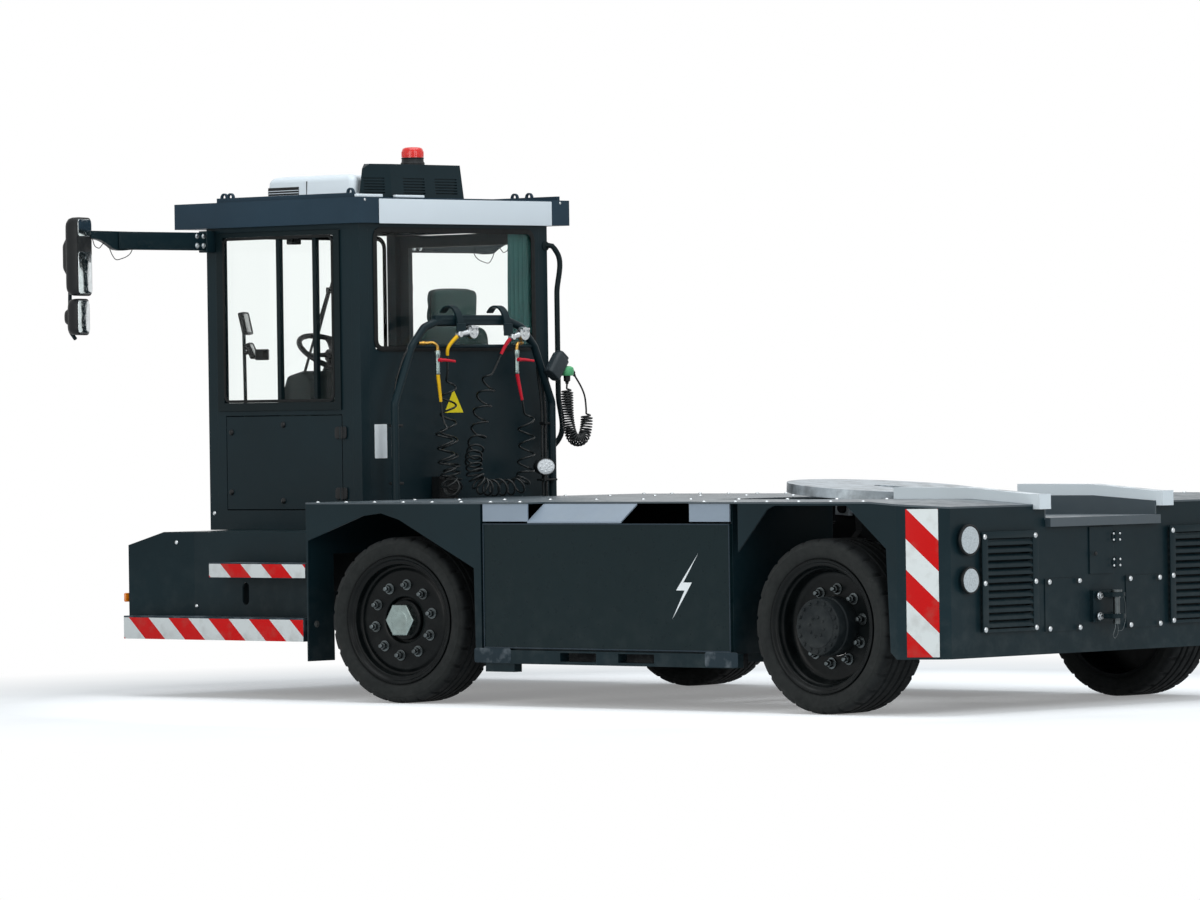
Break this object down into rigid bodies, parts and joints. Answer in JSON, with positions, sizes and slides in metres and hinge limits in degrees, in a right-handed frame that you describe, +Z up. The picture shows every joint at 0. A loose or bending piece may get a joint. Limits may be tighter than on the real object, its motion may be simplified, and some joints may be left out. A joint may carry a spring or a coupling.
{
  "type": "electric yard tractor for semi-trailers",
  "caption": "Low electric yard tractor with a one-person cab, steered front wheels, battery boxes, guide rails and a lifting fifth wheel that couples and moves semi-trailers.",
  "frame": {"origin": "centre of the overall box at ground level", "axes": "+X towards the front of the vehicle, +Y to its left, +Z up"},
  "size_m": [5.421, 3.33, 2.668],
  "materials": {
    "body_paint": "satin dark green-grey paint",
    "chassis_paint": "matt black chassis paint",
    "grey_paint": "satin slate grey paint",
    "step_paint": "worn grey paint with red and white stripes",
    "rail_white": "worn white paint",
    "white_plastic": "white moulded plastic",
    "black_plastic": "black moulded plastic",
    "grey_plastic": "grey moulded plastic",
    "tyre": "dusty solid rubber",
    "rim_paint": "grey paint, bright nuts",
    "steel": "worn greasy steel",
    "glass": "clear glass",
    "lamp_red": "red lens",
    "lamp_clear": "clear lens in a black housing",
    "seat_fabric": "dark seat fabric",
    "curtain_fabric": "dark green pleated cloth",
    "brass": "brass and plated fittings",
    "hose": "black air hose",
    "battery": "grey battery case"
  },
  "bodies": {
    "vehicle": {"chassis_frame": "chassis_paint", "front_axle": "chassis_paint", "rear_axle": "chassis_paint", "nose_body": "body_paint", "bumper_steps": "step_paint", "front_fenders": "body_paint", "battery_boxes": "body_paint", "battery_covers": "body_paint", "battery_tops": "grey_paint", "battery_packs": "battery", "rear_body": "body_paint", "deck": "grey_paint", "guide_rails": "rail_white", "rear_grilles": "grey_paint", "rear_covers": "grey_paint", "rear_lamps": "lamp_red", "rear_hitch": "grey_paint", "hitch_pin": "steel", "cab_frame": "body_paint", "cab_panels": "body_paint", "window_frame": "black_plastic", "cab_glass": "glass", "cab_roof": "grey_paint", "seat": "seat_fabric", "dashboard": "black_plastic", "curtain": "curtain_fabric", "roof_unit": "white_plastic", "vent_housing": "grey_plastic", "beacon": "lamp_red", "mirrors": "black_plastic", "hose_rack": "grey_paint", "grab_rail": "grey_paint", "air_valves": "brass", "work_lamps": "lamp_clear", "front_lamps": "lamp_clear", "air_silencer": "black_plastic", "air_hose_yellow": "hose", "air_hose_red": "hose", "electric_cable": "hose", "cable_socket": "black_plastic"},
    "knuckle_left": {"knuckle_left": "chassis_paint"},
    "knuckle_right": {"knuckle_right": "chassis_paint"},
    "tie_rod": {"tie_rod": "chassis_paint"},
    "boom": {"lift_boom": "chassis_paint"},
    "fifth_wheel": {"fifth_wheel": "steel"},
    "lift_barrel": {"lift_barrel": "chassis_paint"},
    "lift_rod": {"lift_rod": "steel"},
    "door": {"cab_door": "body_paint", "door_glass": "glass"},
    "hatch": {"side_hatch": "body_paint"},
    "rear_door": {"rear_door": "grey_paint"},
    "steering_wheel": {"steering_wheel": "black_plastic"},
    "wheel_front_left": {"tyre_front_left": "tyre", "rim_front_left": "rim_paint"},
    "wheel_front_right": {"tyre_front_right": "tyre", "rim_front_right": "rim_paint"},
    "wheel_rear_left": {"tyre_rear_left": "tyre", "rim_rear_left": "rim_paint"},
    "wheel_rear_right": {"tyre_rear_right": "tyre", "rim_rear_right": "rim_paint"}
  },
  "joints": [
    {"name": "steer_left", "type": "hinge", "parent": "vehicle", "child": "knuckle_left", "pos_m": [0.7645, 0.85, 0.392], "axis": [0, 0, 1], "range_deg": [-36, 20]},
    {"name": "steer_right", "type": "hinge", "parent": "vehicle", "child": "knuckle_right", "pos_m": [0.7645, -0.85, 0.392], "axis": [0, 0, 1], "range_deg": [-36, 20]},
    {"name": "tie_rod_turn", "type": "hinge", "parent": "knuckle_left", "child": "tie_rod", "pos_m": [0.57635, 0.82356, 0.276], "axis": [0, 0, 1], "range_deg": [-20, 36]},
    {"name": "spin_front_left", "type": "hinge", "parent": "knuckle_left", "child": "wheel_front_left", "pos_m": [0.73896, 1.03171, 0.392], "axis": [-0.1392, 0.9903, 0], "continuous": true},
    {"name": "spin_front_right", "type": "hinge", "parent": "knuckle_right", "child": "wheel_front_right", "pos_m": [0.79004, -1.03171, 0.392], "axis": [-0.1392, 0.9903, 0], "continuous": true},
    {"name": "spin_rear_left", "type": "hinge", "parent": "vehicle", "child": "wheel_rear_left", "pos_m": [-1.9255, 1.0335, 0.392], "axis": [0, 1, 0], "continuous": true},
    {"name": "spin_rear_right", "type": "hinge", "parent": "vehicle", "child": "wheel_rear_right", "pos_m": [-1.9255, -1.0335, 0.392], "axis": [0, 1, 0], "continuous": true},
    {"name": "boom_lift", "type": "hinge", "parent": "vehicle", "child": "boom", "pos_m": [-0.4255, 0, 0.79], "axis": [0, 1, 0], "range_deg": [0, 22]},
    {"name": "plate_tilt", "type": "hinge", "parent": "boom", "child": "fifth_wheel", "pos_m": [-1.3035, 0, 0.905], "axis": [0, 1, 0], "range_deg": [-8, 12]},
    {"name": "barrel_turn", "type": "hinge", "parent": "vehicle", "child": "lift_barrel", "pos_m": [-0.7455, 0, 0.385], "axis": [0, 1, 0], "range_deg": [0, 11.5]},
    {"name": "rod_slide", "type": "slide", "parent": "lift_barrel", "child": "lift_rod", "axis": [-0.4706, 0, 0.8824], "range_m": [0, 0.176]},
    {"name": "door_swing", "type": "hinge", "parent": "vehicle", "child": "door", "pos_m": [2.4525, -0.672, 1.5], "axis": [0, 0, 1], "range_deg": [0, 85]},
    {"name": "hatch_swing", "type": "hinge", "parent": "vehicle", "child": "hatch", "pos_m": [1.5845, 0.669, 1.13], "axis": [0, 0, 1], "range_deg": [0, 100]},
    {"name": "rear_door_swing", "type": "hinge", "parent": "vehicle", "child": "rear_door", "pos_m": [-2.5975, -0.09, 0.708], "axis": [0, 0, 1], "range_deg": [0, 110]},
    {"name": "steering_wheel_turn", "type": "hinge", "parent": "vehicle", "child": "steering_wheel", "pos_m": [2.2795, 0.01, 1.665], "axis": [-0.5, 0, 0.866], "range_deg": [-648, 360]}
  ],
  "couplings": [
    {"joint": "steer_right", "follows": "steer_left", "ratio": 1},
    {"joint": "tie_rod_turn", "follows": "steer_left", "ratio": -1},
    {"joint": "steering_wheel_turn", "follows": "steer_left", "ratio": 18},
    {"joint": "barrel_turn", "follows": "boom_lift", "ratio": 0.5103},
    {"joint": "rod_slide", "follows": "boom_lift", "m_per_rad": 0.4555}
  ]
}
